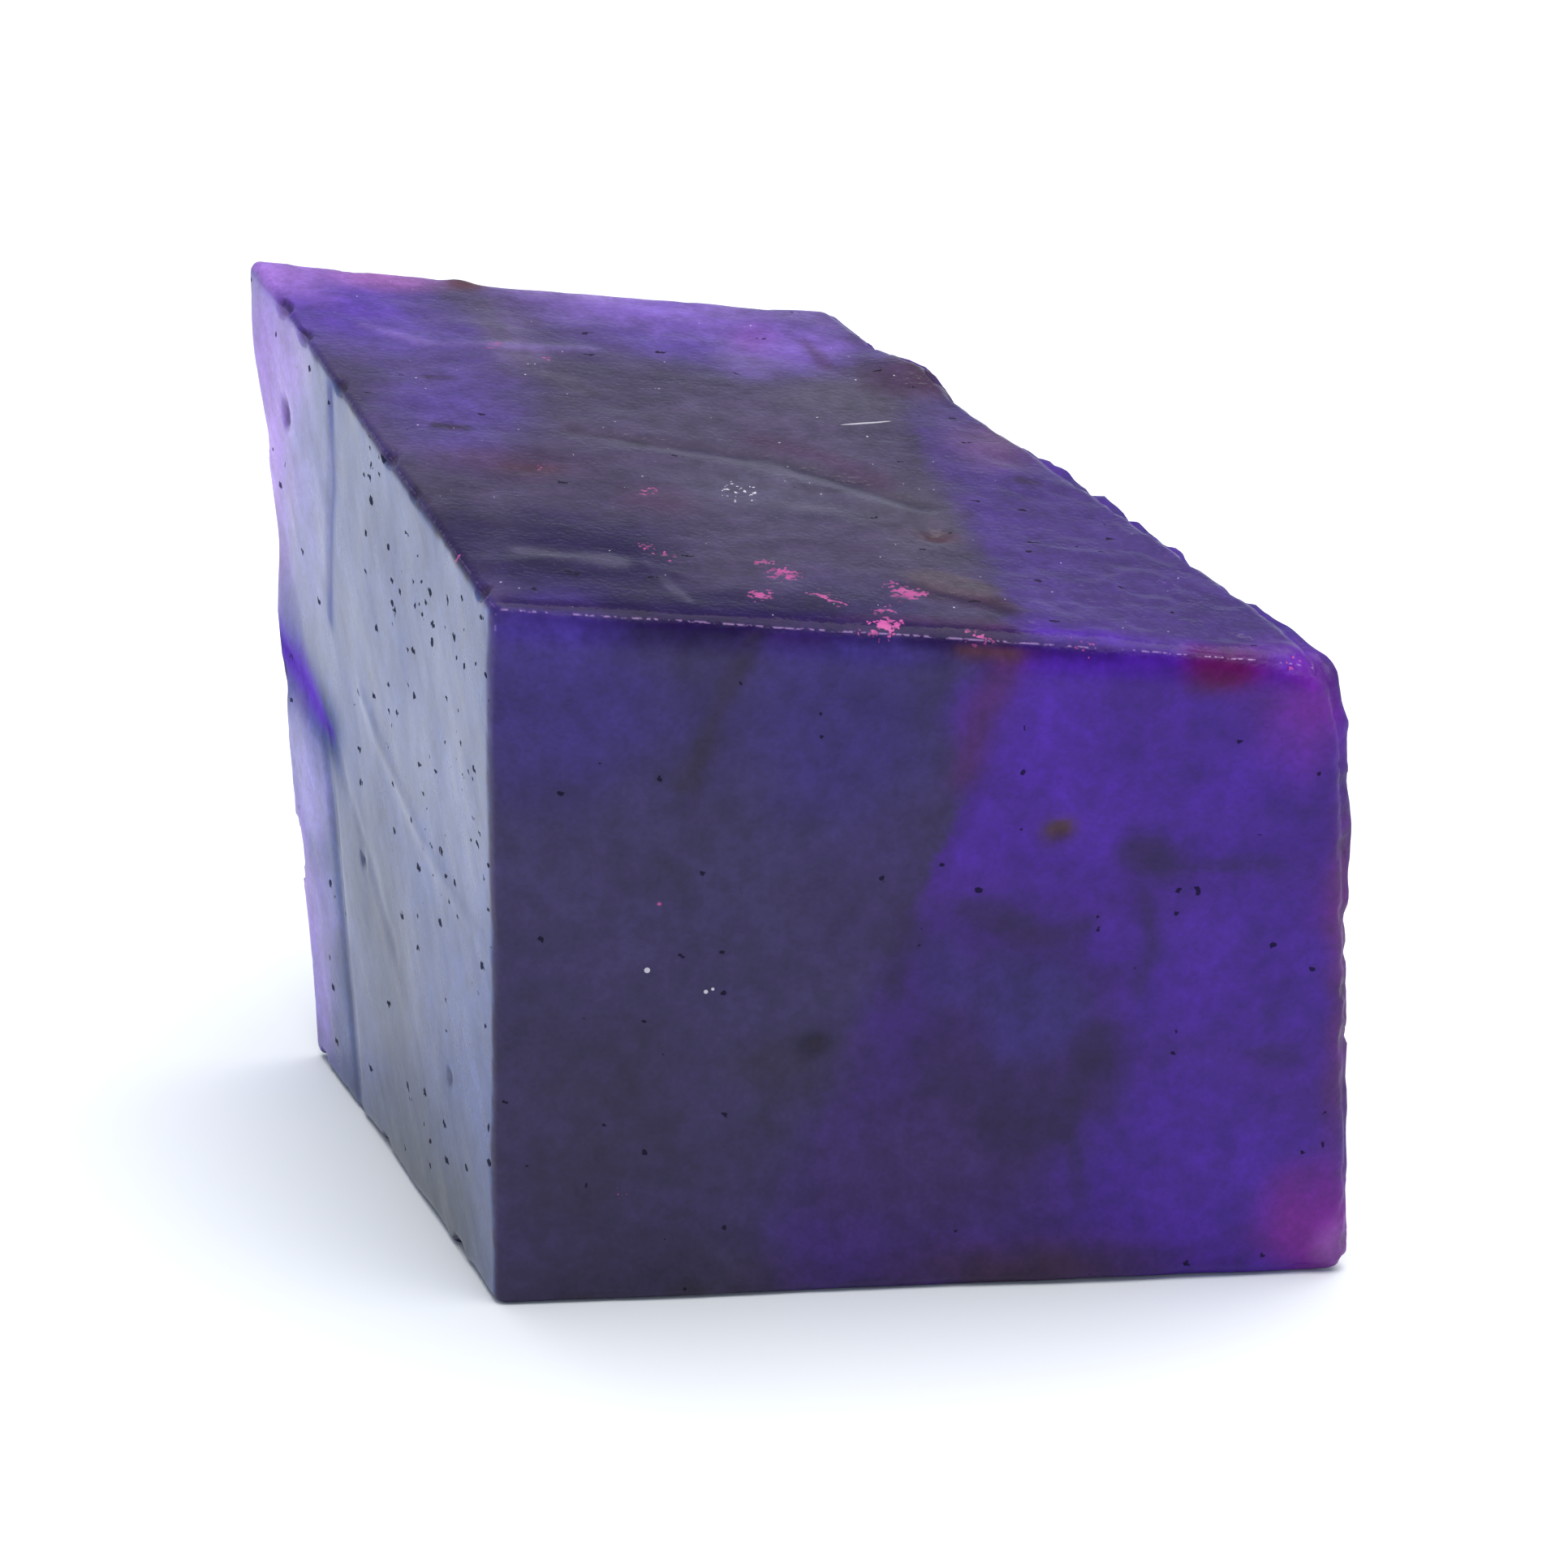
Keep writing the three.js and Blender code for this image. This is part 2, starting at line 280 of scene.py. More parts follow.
# A flake is lost from the lower back of the left side. The break has a shallow fold, flares out from it to
# the back edge, and ends above at a rim with a ledge that deepens to the back.
flake = {
    "foldFoot": {"y": 2, "z": 0}, "foldTop": {"y": 5.6, "z": 15},
    "groove": {"depth": 0.1, "halfWidth": 0.4}, "flare": 0.035,
    "rim": {"y": 5.3, "z": 15.2, "rise": 0.22, "softness": 0.5},
    "ledge": {"depth": 0.34, "runIn": 5, "width": 0.15, "widening": 0.16, "below": 0.8},
    "behind": (-0.1, 0.3),          # where its surface starts, from the fold
}

crackLine = [(-8, 0.6), (-5.9, 0.1), (-4, -0.3), (-0.6, -0.8), (2.7, -3), (4.7, -4.4)]
ridges = [  # face, line of points on it, height, half width
    ("left", [(0.9, 18.2), (-1.9, 16.7), (-6.7, 15), (-11, 14.2), (-15, 13.7)], 0.06, 0.3),
    ("left", [(4.8, 15.2), (2.4, 13.2), (0.4, 11.8), (-3, 9)], -0.05, 0.35),
    ("left", [(4.4, 29.6), (4.6, 25.8), (4.9, 21)], -0.05, 0.3),
    ("top", crackLine, -0.09, 0.4),
    ("top", [(-6.5, -1), (-2.7, -1.6), (1.6, -3.4), (4.6, -5.4)], 0.07, 0.6),
    ("top", [(-15.9, 9.4), (-13.4, 8), (-10.6, 8.3), (-7, 8.8)], 0.05, 0.3),
    ("top", [(-11.5, -11.6), (-8.8, -10.9), (-6.4, -10.9), (-4.8, -11.6)], 0.05, 0.35),
    ("top", [(3.6, -11.3), (4.9, -12.2), (6.3, -12.8), (7.4, -13.9)], -0.05, 0.35),
    ("top", [(8, -6.6), (9.4, -7.4), (11, -7.5)], 0.05, 0.25),
    ("front", [(-2.6, 26.2), (-3.7, 22.3), (-5.4, 19.6)], -0.04, 0.35),
    ("right", [(-12, 21), (-6, 19), (0, 20.5), (6, 24)], 0.2, 0.5),
    ("right", [(-13.5, 12.5), (-8, 11), (-3, 12.5), (4, 11.5)], -0.22, 0.5),
    ("right", [(-9, 3.5), (-3, 5), (3, 3), (7, 4.5)], 0.18, 0.6),
    ("back", [(-15, 25), (-8, 23.5), (-1, 26)], 0.07, 0.4),
    ("back", [(-17, 12), (-9, 13.5), (0, 11), (5, 12.5)], -0.08, 0.4),
]
rings = [  # face, middle, radius, height, half width
    ("top", 12.1, -10, 1.15, 0.06, 0.2),
    ("top", 12.6, -4.7, 0.8, 0.05, 0.2),
]

# How uneven each face is, as the saw or the break left it: height, and length in X, Y and Z, in mm.
grain = {
    "front": [(0.012, (0.7, 0.7, 0.7))],
    "left": [(0.02, (3, 1.6, 3)), (0.006, (0.9, 0.9, 0.9))],
    "top": [(0.035, (3, 1.2, 3)), (0.02, (0.9, 0.6, 2))],
    "right": [(0.16, (2.6, 2.6, 2)), (0.07, (0.9, 0.9, 0.8))],
    "back": [(0.03, (0.6, 3, 4)), (0.03, (0.9, 0.9, 0.9))],
}
# Finer forms, in mm. A pair is where something starts and where it is full.
finer = {
    "swells": [("swell", 0.14, 9), ("fineSwell", 0.05, 3.2)],
    "wander": {"ridges": 0.35, "rings": 0.14, "veins": 0.25, "length": 1.6},    # how far lines stray
    "pocks": {"depth": 0.13, "length": (1.1, 0.7, 1), "above": 0.1, "x": (5.5, 9)},
    "shells": {"step": 0.16, "length": 7, "steps": 5, "lip": (0.35, 0.65)},
    "bites": {"depth": 0.05, "moreAtRight": 0.13, "length": 0.75, "fineLength": 0.38, "fineShare": 0.35,
              "above": 0.05, "fromEdge": (0.9, 0.1)},
    "underside": (-0.95, -0.5),     # a point that looks down more than this stays flat
}


def alongLine(face, line, points):
    # distance in mm of each point from a broken line on a face, at any depth below it
    spots = [onFace(face, a, b) for a, b in line]
    nearest = np.full(len(points), np.inf)
    for start, end in zip(spots, spots[1:]):
        run = end - start
        share = np.clip(((points - start) @ run) / (run @ run), 0, 1)
        away = points - start - share[:, None] * run
        away -= (away @ faceNormal[face])[:, None] * faceNormal[face]
        nearest = np.minimum(nearest, norm(away, axis=1))
    return nearest


def relief(points, normals, onFaces, edge, rightward):
    high = sum(height * noiseAt(points, length, sheet[name]) for name, height, length in finer["swells"])
    for at, reach, height in lumps:
        away = norm(points - np.array(at), axis=1) / reach
        high += height * (1 - np.minimum(away, 1) ** 2) ** 2
    for face, layers in grain.items():
        for index, (height, length) in enumerate(layers):
            high += height * onFaces[face] * noiseAt(points, length, sheet["grain"] + index)
    wander = finer["wander"]
    stray = noiseAt(points, wander["length"], sheet["wander"])
    for face, line, height, width in ridges:
        away = alongLine(face, line, points) + wander["ridges"] * stray
        high += height * onFaces[face] * np.exp(-(away / width) ** 2)
    for face, a, b, radius, height, width in rings:
        away = norm(points - onFace(face, a, b), axis=1) - radius + wander["rings"] * stray
        high += height * onFaces[face] * np.exp(-(away / width) ** 2)
    # the right strip of the top is pocked
    pocks = finer["pocks"]
    deep = np.maximum(noiseAt(points, pocks["length"], sheet["pocks"]) - pocks["above"], 0)
    high -= pocks["depth"] * deep * onFaces["top"] * smooth(points[:, 0], *pocks["x"])
    # the right face steps down in shells
    shells = finer["shells"]
    steps = shells["steps"] * noiseAt(points, shells["length"], sheet["shells"])
    steps = np.floor(steps) + smooth(steps - np.floor(steps), *shells["lip"])
    high += shells["step"] * onFaces["right"] * steps
    # every edge is bitten, the right ones most
    bites = finer["bites"]
    deep = noiseAt(points, bites["length"], sheet["bite"])
    deep += bites["fineShare"] * noiseAt(points, bites["fineLength"], sheet["fineBite"])
    deep = np.maximum(deep - bites["above"], 0) * smooth(edge, *bites["fromEdge"])
    high -= (bites["depth"] + bites["moreAtRight"] * rightward) * deep
    return high * smooth(normals[:, 2], *finer["underside"])


def flakeDepth(points, onLeft):
    # how deep the flake took each point of the left side, and the share of the break behind the fold
    y, z = points[:, 1], points[:, 2]
    foot, top, groove = flake["foldFoot"], flake["foldTop"], flake["groove"]
    rim, ledge = flake["rim"], flake["ledge"]
    behind = y - foot["y"] - (top["y"] - foot["y"]) * (z - foot["z"]) / (top["z"] - foot["z"])
    past = np.maximum(y - rim["y"], 0)
    under = rim["z"] + rim["rise"] * past - z
    broken = smooth(under, 0, rim["softness"])
    fold = groove["depth"] * np.exp(-(behind / groove["halfWidth"]) ** 2)
    fold -= flake["flare"] * np.maximum(behind, 0)
    width = ledge["width"] + ledge["widening"] * past
    shelf = np.exp(-(under / width - ledge["below"]) ** 2) * np.minimum(past / ledge["runIn"], 1)
    deep = onLeft * (broken * fold + ledge["depth"] * shelf)
    return deep, broken * smooth(behind, *flake["behind"])


def scooped(points, normals, scoops):
    # pushes every point that lies inside a ball in to the ball's far side, and says how far each was cut
    points = points.copy()
    cut = np.zeros(len(points))
    for index, (centre, radius) in enumerate(scoops):
        near = np.flatnonzero(np.abs(points - centre).max(axis=1) < radius * 1.1)
        arm = points[near] - centre
        ragged = 1 + sum(share * noiseAt(points[near], length, index) for share, length in chips["ragged"])
        inside = radius * radius * ragged - (arm * arm).sum(axis=1)
        hit = inside > 0
        near, arm, inside = near[hit], arm[hit], inside[hit]
        rise = (arm * normals[near]).sum(axis=1)
        push = rise + np.sqrt(rise * rise + inside)
        points[near] -= normals[near] * push[:, None]
        cut[near] = np.maximum(cut[near], np.minimum(push / chips["wholeCut"], 1))
    return points, cut


def makeStone():
    places, quads = cubeSkin(block["cells"])
    even = places / np.array(block["cells"]) * 2 - 1
    cube = block["evenness"] * even + (1 - block["evenness"]) * np.sin(even * math.pi / 2)
    points = worn(cube)
    normals = normalsOf(points, quads)
    onFaces = {face: smooth(normals @ outward, *block["faceShare"]) for face, outward in faceNormal.items()}
    edge = np.sort((1 - np.abs(cube)) * np.array(block["halfSide"]), axis=1)[:, 1]
    high = relief(points, normals, onFaces, edge, smooth(cube[:, 0], *block["rightShare"]))
    deep, broken = flakeDepth(points, onFaces["left"])
    points += normals * (high - deep)[:, None]
    points, cut = scooped(points, normals, allScoops())
    low, high = points.min(axis=0), points.max(axis=0)
    shift = np.array([(low[0] + high[0]) / 2, (low[1] + high[1]) / 2, low[2]])
    points -= shift
    mesh = bpy.data.meshes.new("tanzanite_stone")
    mesh.from_pydata((points * mm).tolist(), [], quads.tolist())
    mesh.polygons.foreach_set("use_smooth", [True] * len(quads))
    stone = addObject("tanzanite_stone", mesh)
    return stone, shift, points + shift, onFaces, edge, cut, broken


# stoneShift centres the stone over the origin; skin has its points where they were before that, in mm
stone, stoneShift, skin, onFaces, fromEdge, cut, broken = makeStone()
print("stone made:", len(stone.data.polygons) * 2, "triangles")

dyes = {
    # the front
    "slateDark": "#30264a", "night": "#362b3e", "indigo": "#38287a", "violetCorner": "#463091",
    "violet": "#461896", "vivid": "#4b1a9e", "smoke": "#2e1954", "soot": "#281648", "dusk": "#38225f",
    "ink": "#05052a", "haze": "#322747", "band": "#4e1b66", "ember": "#38203a", "rust": "#5a0648",
    "magenta": "#7c1892", "rose": "#6c24a6", "rim": "#62286e", "hidden": "#3f2a80",
    # the top
    "lilac": "#856db5", "paleLilac": "#a88cd0", "cornerLilac": "#a074d0", "topViolet": "#5a429c",
    "corner": "#5c3caa", "purple": "#7a5ab8", "pink": "#a468b6", "veil": "#645486", "plum": "#4a2c50",
    "ashen": "#4e4460", "olive": "#4f475c", "mauve": "#664a72", "inkTop": "#1a053e", "tan": "#574a58",
    # pitted is a painted shade for the chips and pits
    "brown": "#422a42", "stain": "#58363e", "crack": "#3c3246", "pitted": "#2a1830", "sheen": "#554f68",
    # the left
    "left": "#4a5b98", "leftLow": "#30384a", "margin": "#c496f8", "bevel": "#9c8fe2", "bevelLow": "#8a72ce",
    "shadedLedgeWall": "#6632cc", "blue": "#2630a0", "fold": "#10204a",
}

# Clouds of colour inside the stone, painted over one another in this order: dye, amount, softness, middle,
# reach, turn in degrees. Each lies as deep in the stone as it reaches, so it runs on round the edges.
clouds = [
    # the front, left of the boundary: slate, with an indigo top, a painted violet highlight by its top edge
    # and a dark foot
    ("violetCorner", 0.8, 0.9, (-9.6, -14.8, 25.6), (4, 5, 3.6)),
    ("indigo", 0.85, 0.9, (-8.4, -14.8, 22.6), (6.4, 6, 4.2)),
    ("indigo", 0.9, 0.9, (0.6, -14.8, 22.4), (5.2, 6, 6)),
    ("violetCorner", 0.5, 0.9, (-1, -15.2, 26), (1.8, 1.6, 1.4)),
    ("dusk", 0.5, 0.8, (2.4, -15, 15.6), (3.4, 4, 4)),
    ("slateDark", 0.9, 0.9, (-8.4, -15, 6), (7, 5, 9)),
    ("night", 0.8, 0.9, (-4, -15, -0.6), (11, 5, 3.6)),
    ("haze", 0.7, 0.8, (-0.8, -15.2, 9.2), (3.4, 3, 1.9)),
    ("ink", 0.95, 0.8, (-0.3, -15.2, 10.1), (0.95, 2, 0.8)),
    # the front, right of it: rounded violet lobes with smoky gaps between them
    ("smoke", 0.9, 0.8, (6.6, -15.2, 8.6), (7.4, 4, 7.4)),
    ("dusk", 0.85, 0.8, (3, -15.2, 4.4), (6.8, 3, 4.6)),
    ("vivid", 0.9, 0.35, (8.3, -14.8, 20.6), (3.9, 5, 5.9)),
    ("violet", 0.9, 0.5, (14.6, -14.8, 20.2), (4.4, 5, 4.2)),
    ("vivid", 0.6, 0.8, (9.2, -14.8, 23.4), (3.4, 4, 2.6)),
    ("violet", 0.75, 0.35, (15.2, -15, 12.6), (3.9, 4.5, 3.9)),
    ("violet", 0.85, 0.4, (13.7, -15, 5), (4.6, 5, 4)),
    ("violet", 0.6, 0.4, (10.4, -15.2, 13.6), (1.2, 2, 1)),
    ("indigo", 0.75, 0.5, (7.4, -15.2, 11.4), (2.5, 3, 2.3)),
    ("indigo", 0.5, 0.6, (4.4, -15.2, 12.8), (1.2, 2, 2)),
    ("soot", 0.75, 0.8, (12, -15.2, 17), (1.7, 3, 1.1), (0, 14, 0)),
    ("soot", 0.45, 0.9, (14.4, -15.2, 16.7), (3.4, 3, 0.5), (0, -4, 0)),
    ("soot", 0.6, 0.7, (6.2, -15.2, 14.8), (2.4, 2.4, 0.8), (0, 24, 0)),
    ("soot", 0.5, 0.8, (8.6, -15.2, 14.2), (1.8, 2.4, 0.6), (0, -12, 0)),
    ("soot", 0.7, 0.7, (9.9, -15.2, 9.7), (1.1, 2.4, 1.5)),
    ("soot", 0.65, 0.7, (7.3, -15.2, 6.1), (2.4, 2.6, 1.5), (0, -20, 0)),
    ("smoke", 0.5, 0.8, (16.4, -15.2, 9.2), (1.6, 2.4, 0.7)),
    ("ember", 0.9, 0.8, (7.4, -15.2, 0.6), (6.4, 3, 2.1)),
    # rose, the magenta at both right corners and the pink at the lower one are a painted glow of light
    # through the thin right corners of the front
    ("rose", 0.85, 0.9, (17.2, -15, 22.2), (3.2, 3.4, 3.2)),
    ("rust", 0.9, 0.7, (14.3, -15.2, 23.9), (1.9, 1.8, 1.2)),
    ("magenta", 0.95, 0.9, (18.6, -15, 1.8), (3.4, 4, 3.2)),
    ("magenta", 0.4, 0.9, (17.6, -15, 22.6), (1.7, 2.6, 1.5)),
    ("pink", 0.5, 0.9, (19.2, -15, 1.2), (1.2, 2.2, 1.4)),
    # the top: violet towards its back and its left, ashen and olive in the middle with a painted sheen in
    # their grey, near black at the left of the front
    ("topViolet", 0.85, 0.9, (-15.4, 9.4, 30), (6, 5, 3.4)),
    ("corner", 0.9, 0.9, (-17.4, 12, 31), (5, 4.4, 3.4)),
    ("topViolet", 0.75, 0.9, (-12.6, 2, 29.2), (4, 7, 2.4)),
    ("topViolet", 0.8, 0.9, (-2.4, 10.6, 29.4), (8, 4.2, 3.4)),
    ("ashen", 0.8, 0.9, (-1, 0.6, 28), (7.6, 5.6, 3)),
    ("olive", 0.9, 0.8, (3.6, 5.6, 28), (4.4, 3.4, 3)),
    ("olive", 0.85, 0.8, (4.2, -5.6, 27), (2.6, 5, 2.4), (0, 0, -6)),
    ("inkTop", 0.95, 0.75, (-8.4, -10.4, 27.4), (5.4, 5, 2.4)),
    ("inkTop", 0.95, 0.75, (-3, -14, 26.4), (8.4, 2.3, 1.4)),
    ("veil", 0.75, 0.8, (-10.4, 9.2, 30), (1.4, 4.6, 2), (0, 0, 14)),
    ("plum", 0.7, 0.85, (-10.6, -2.6, 28.6), (3.8, 1.9, 1.6)),
    ("plum", 0.6, 0.85, (-5.2, -5, 27.7), (2, 1.7, 1.4)),
    ("plum", 0.6, 0.8, (3.4, -14.4, 25.8), (4.6, 0.9, 0.7)),
    ("rust", 0.5, 0.8, (5.8, -14.8, 25.2), (1.5, 1, 0.9)),
    ("brown", 0.9, 0.8, (5.6, 8.2, 28.2), (2.6, 2.6, 2)),
    ("brown", 0.6, 0.9, (8.6, 2.6, 27.4), (1.6, 2.4, 1.6)),
    ("sheen", 0.5, 0.8, (-0.6, -3.6, 27.4), (4.6, 2, 2), (0, 0, -14)),
    ("purple", 0.9, 0.9, (-3.6, 13.6, 29.8), (8, 3.6, 4)),
    ("purple", 0.8, 0.9, (1.4, 10.8, 29), (2.6, 3, 3)),
    # the lilac along the back edge, the pale glow by it, the glow at its left corner and the pink there are a
    # painted glow of light through the thin back edge
    ("lilac", 0.9, 0.8, (-2.6, 15.8, 30.2), (14, 2.6, 5)),
    ("lilac", 0.45, 0.9, (-0.8, 9.4, 29.2), (1.9, 2.8, 2)),
    ("cornerLilac", 0.95, 0.8, (-19.6, 14.6, 31.2), (3.8, 4, 3)),
    ("pink", 0.85, 0.9, (-15, 14.6, 31), (3, 1.9, 1.6)),
    ("paleLilac", 0.8, 0.9, (-4.4, 15.7, 29.8), (16, 1.5, 2.4)),
    ("stain", 0.9, 0.6, (-11.7, 14.9, 30.6), (1.3, 1.3, 1.3)),
    # a painted shadow in brown under the ragged front edge of the tan flake
    ("brown", 0.95, 0.5, (5.5, -12.2, 26), (2.3, 0.9, 0.9), (0, 0, -24)),
    ("tan", 0.9, 0.4, (5, -10.95, 26.1), (1.9, 1, 0.8), (0, 0, -24)),
    ("inkTop", 0.8, 0.8, (-12.7, -9.8, 27.8), (1.5, 4.2, 1.6)),
    ("mauve", 0.6, 0.8, (7.8, 1.8, 27.3), (2.3, 3.2, 1.6)),
    ("magenta", 0.3, 0.9, (-0.3, 11.2, 29), (1.6, 2.4, 1.6)),
    # the worn edge between the front and the top, and the corner at its right end
    ("inkTop", 0.85, 0.8, (3.6, -15.2, 25.7), (15.6, 0.75, 0.75), (0, 5.5, 0)),
    ("night", 0.5, 0.8, (18.5, -15, 23.9), (1.3, 1.8, 1.1)),
    # the right rim, and the hidden faces
    ("rim", 0.85, 0.8, (19.3, -14.8, 12.6), (1.2, 2.6, 10)),
    ("magenta", 0.6, 0.8, (18.6, -11, 15), (2, 5, 3.4)),
    ("violet", 0.8, 0.8, (15, -3, 17), (5, 6, 6)),
    ("smoke", 0.7, 0.8, (13, -2, 8), (4, 7, 3)),
    ("vivid", 0.6, 0.8, (9, 7, 6), (5, 5, 5)),
    ("indigo", 0.7, 0.8, (-4, 10, 12), (6, 5, 6)),
    ("slateDark", 0.7, 0.8, (-8, 9, 4), (8, 4, 4)),
    ("magenta", 0.4, 0.8, (4, 12, 24), (4, 4, 5)),
]
leftClouds = [
    # painted shade: the left side darker towards its foot
    ("leftLow", 0.95, 0.9, (-14, -6, 0), (6, 15, 9)),
    ("leftLow", 0.6, 0.9, (-15.6, -1, 9), (4, 7, 7)),
    # a painted glow of light through the thin back edge: on the margin, on the bevel of the flake, and pink
    # in it
    ("bevel", 0.7, 0.9, (-19, 9, 26), (2.6, 8, 9)),
    ("margin", 0.95, 0.9, (-19.9, 13.8, 25), (2.6, 6.4, 10)),
    ("margin", 0.5, 0.9, (-19.4, 9.6, 29), (2.6, 5, 3)),
    ("pink", 0.35, 0.9, (-20, 12.4, 20), (1.4, 1.8, 3.4)),
    ("bevel", 0.95, 0.5, (-19.6, 8.6, 12), (2.4, 4.4, 3.4)),
    ("bevelLow", 0.95, 0.6, (-18.9, 7.8, 4.4), (2.4, 4.4, 7)),
    ("margin", 0.7, 0.9, (-19.4, 9.6, 6.6), (1.6, 2.2, 5)),
]
# Thin veins and cracks, and lines of painted shade: face, line on it, dye, half width in mm, amount.
veins = [
    ("front", [(-2.4, 25.8), (-3.9, 22.6), (-4.8, 20.4)], "haze", 0.45, 0.75),
    ("front", [(6.8, 25.2), (5.6, 22.6), (5, 20.3)], "band", 0.7, 0.85),
    ("front", [(3.1, 15.3), (2.6, 13.2), (2.4, 11.4)], "soot", 0.5, 0.5),
    ("front", [(8.2, 18.15), (8.7, 18.2)], "stain", 0.4, 0.95),
    ("front", [(4.9, 25.1), (6.6, 24.95)], "stain", 0.45, 0.85),
    ("front", [(11.6, 15.6), (12, 13.4), (11.4, 11.6)], "soot", 0.35, 0.55),
    ("front", [(9.4, 8.4), (9, 6.4), (9.6, 3.4)], "soot", 0.35, 0.6),
    ("top", crackLine, "crack", 0.6, 0.7),
    ("top", [(-4, -0.4), (-0.6, -1), (2.7, -3.2), (4.7, -4.6)], "inkTop", 0.24, 0.5),
    ("top", [(-11.2, 12.6), (-10.6, 9.6), (-9.4, 6.6), (-7.4, 4.6)], "olive", 0.6, 0.6),
    ("top", [(1.6, 11), (2.2, 8.6)], "plum", 0.3, 0.6),
    ("top", [(-15.9, 9.4), (-13.4, 8), (-10.6, 8.3), (-7, 8.8)], "lilac", 0.3, 0.4),
    # a painted shade on the wall of the ledge above the flake, widest at the back
    ("left", [(13.6, 16.8), (11.4, 16.5), (9.2, 16.1)], "shadedLedgeWall", 1.2, 1),
    ("left", [(9.2, 16.1), (7.6, 15.75)], "shadedLedgeWall", 0.9, 1),
    ("left", [(7.6, 15.75), (6.4, 15.5)], "shadedLedgeWall", 0.6, 1),
    ("left", [(6.4, 15.5), (5, 15.15)], "shadedLedgeWall", 0.35, 1),
    ("top", [(-5.9, -10.5), (-4.6, -13.9)], "sheen", 0.1, 0.7),
    ("top", [(-11, -14.7), (-3, -14.75), (6.6, -14.75)], "inkTop", 0.5, 0.85),
    ("top", [(-10.4, -10.5), (-8.8, -10.7), (-6.9, -10.9)], "sheen", 0.45, 0.7),
    # a painted shadow line under the front edge of the tan flake
    ("top", [(3.2, -11.5), (5.2, -12.4), (6.8, -13)], "inkTop", 0.35, 0.6),
    ("front", [(-1.5, 25.8), (-0.2, 25.6)], "smoke", 0.5, 0.8),
    ("back", [(-14, 27), (-11, 20), (-9.5, 12), (-11, 3)], "soot", 0.5, 0.7),
    ("back", [(-9.5, 12), (-4, 9.5), (1.5, 10.5), (5.5, 8)], "soot", 0.4, 0.6),
    ("back", [(-3, 29), (-1, 22), (1, 16.5)], "haze", 0.6, 0.7),
    ("top", [(-1, 0.9), (1.2, -0.3), (3.2, -2)], "plum", 0.7, 0.6),
    # dark dashes in the pits of the top: painted shade
    ("top", [(-13.4, 4.8), (-12.5, 4.8)], "pitted", 0.24, 0.9),
    ("top", [(-13.2, 0.2), (-12.1, 0.2)], "pitted", 0.24, 0.9),
    ("top", [(-10.5, -3.1), (-9.1, -3.1)], "stain", 0.45, 0.45),
    ("top", [(4.4, -6.9), (5.4, -6.9)], "stain", 0.35, 0.5),
    ("top", [(2.7, -6.2), (3.5, -6.2)], "pitted", 0.22, 0.8),
    ("top", [(0.4, -3.2), (1.5, -3.3)], "pitted", 0.2, 0.7),
    ("top", [(8.7, -1.2), (9.3, -1.3)], "pitted", 0.2, 0.7),
    ("left", [(5.2, 15.2), (4.7, 13.3), (4.5, 10.6)], "fold", 0.2, 0.65),
    ("left", [(4.5, 10.6), (3.4, 5.4), (3, 2.4)], "fold", 0.16, 0.25),
    ("left", [(4.6, 29.3), (4.2, 25.6), (4.6, 22.4), (4.8, 20)], "blue", 0.35, 0.65),
]

# Small marks on the surface: face, place on it, radius in mm.
marks = {
    "pinkFlakes": {
        "top": [(-1.1, -10.9, 0.5), (-2, -12.9, 0.42), (3.3, -12, 0.62), (2.7, -11.4, 0.25),
                (2.3, -13.6, 0.35), (0.1, -12.6, 0.3), (0.7, -13.1, 0.25), (-5.1, -10, 0.28),
                (-5.8, -9.3, 0.3), (2.3, -14.7, 0.5), (1.8, -15.1, 0.3), (-10.8, 8.3, 0.26),
                (-8.8, 7.4, 0.2), (-12.9, -11.2, 0.34), (-9.6, -3.1, 0.26), (5.5, -15, 0.34),
                (16.9, -14.9, 0.34), (-1.7, -10.2, 0.26), (-5.5, -4.4, 0.3), (9.2, -15.1, 0.24)],
        "front": [(-5.9, 15.6, 0.04), (-7.4, 4.3, 0.02)],
        "back": [(-9, 21, 0.4)],
        "right": [(2, 18, 0.4)],
    },
    "grains": [("front", -6.3, 13.2, 0.12), ("front", -4.2, 12.3, 0.08), ("front", -3.95, 12.4, 0.06),
               ("top", -2.3, -3.4, 0.1)],
    "scratch": ("top", (2.2, 2.7), (4.3, 3.5), 0.085),      # its two ends and its half width
}

# Worn edges carry a thin line of battered specks with painted glints: from, to, amount, and the share of the
# edge that it covers.
bruised = [
    ("leftFrontTop", "rightFrontTop", 0.55, (0, 1)), ("leftFrontTop", "rightFrontTop", 0.9, (0.8, 0.93)),
    ("rightFrontTop", "rightBackTop", 0.3, (0, 0.6)), ("leftFrontTop", "leftBackTop", 0.2, (0, 1)),
    ("rightFrontBottom", "rightFrontTop", 0.25, (0.4, 1)),
    ("rightBackBottom", "rightBackTop", 0.3, (0, 1)),
]
# Lines on the left side that are dull: line, half width, amount.
dull = [
    ([(13.6, 16.8), (9.2, 16.1), (7.6, 15.75), (5, 15.15)], 1.2, 1),
    ([(4.6, 29.3), (4.2, 25.6), (4.8, 20)], 0.4, 0.5),
]
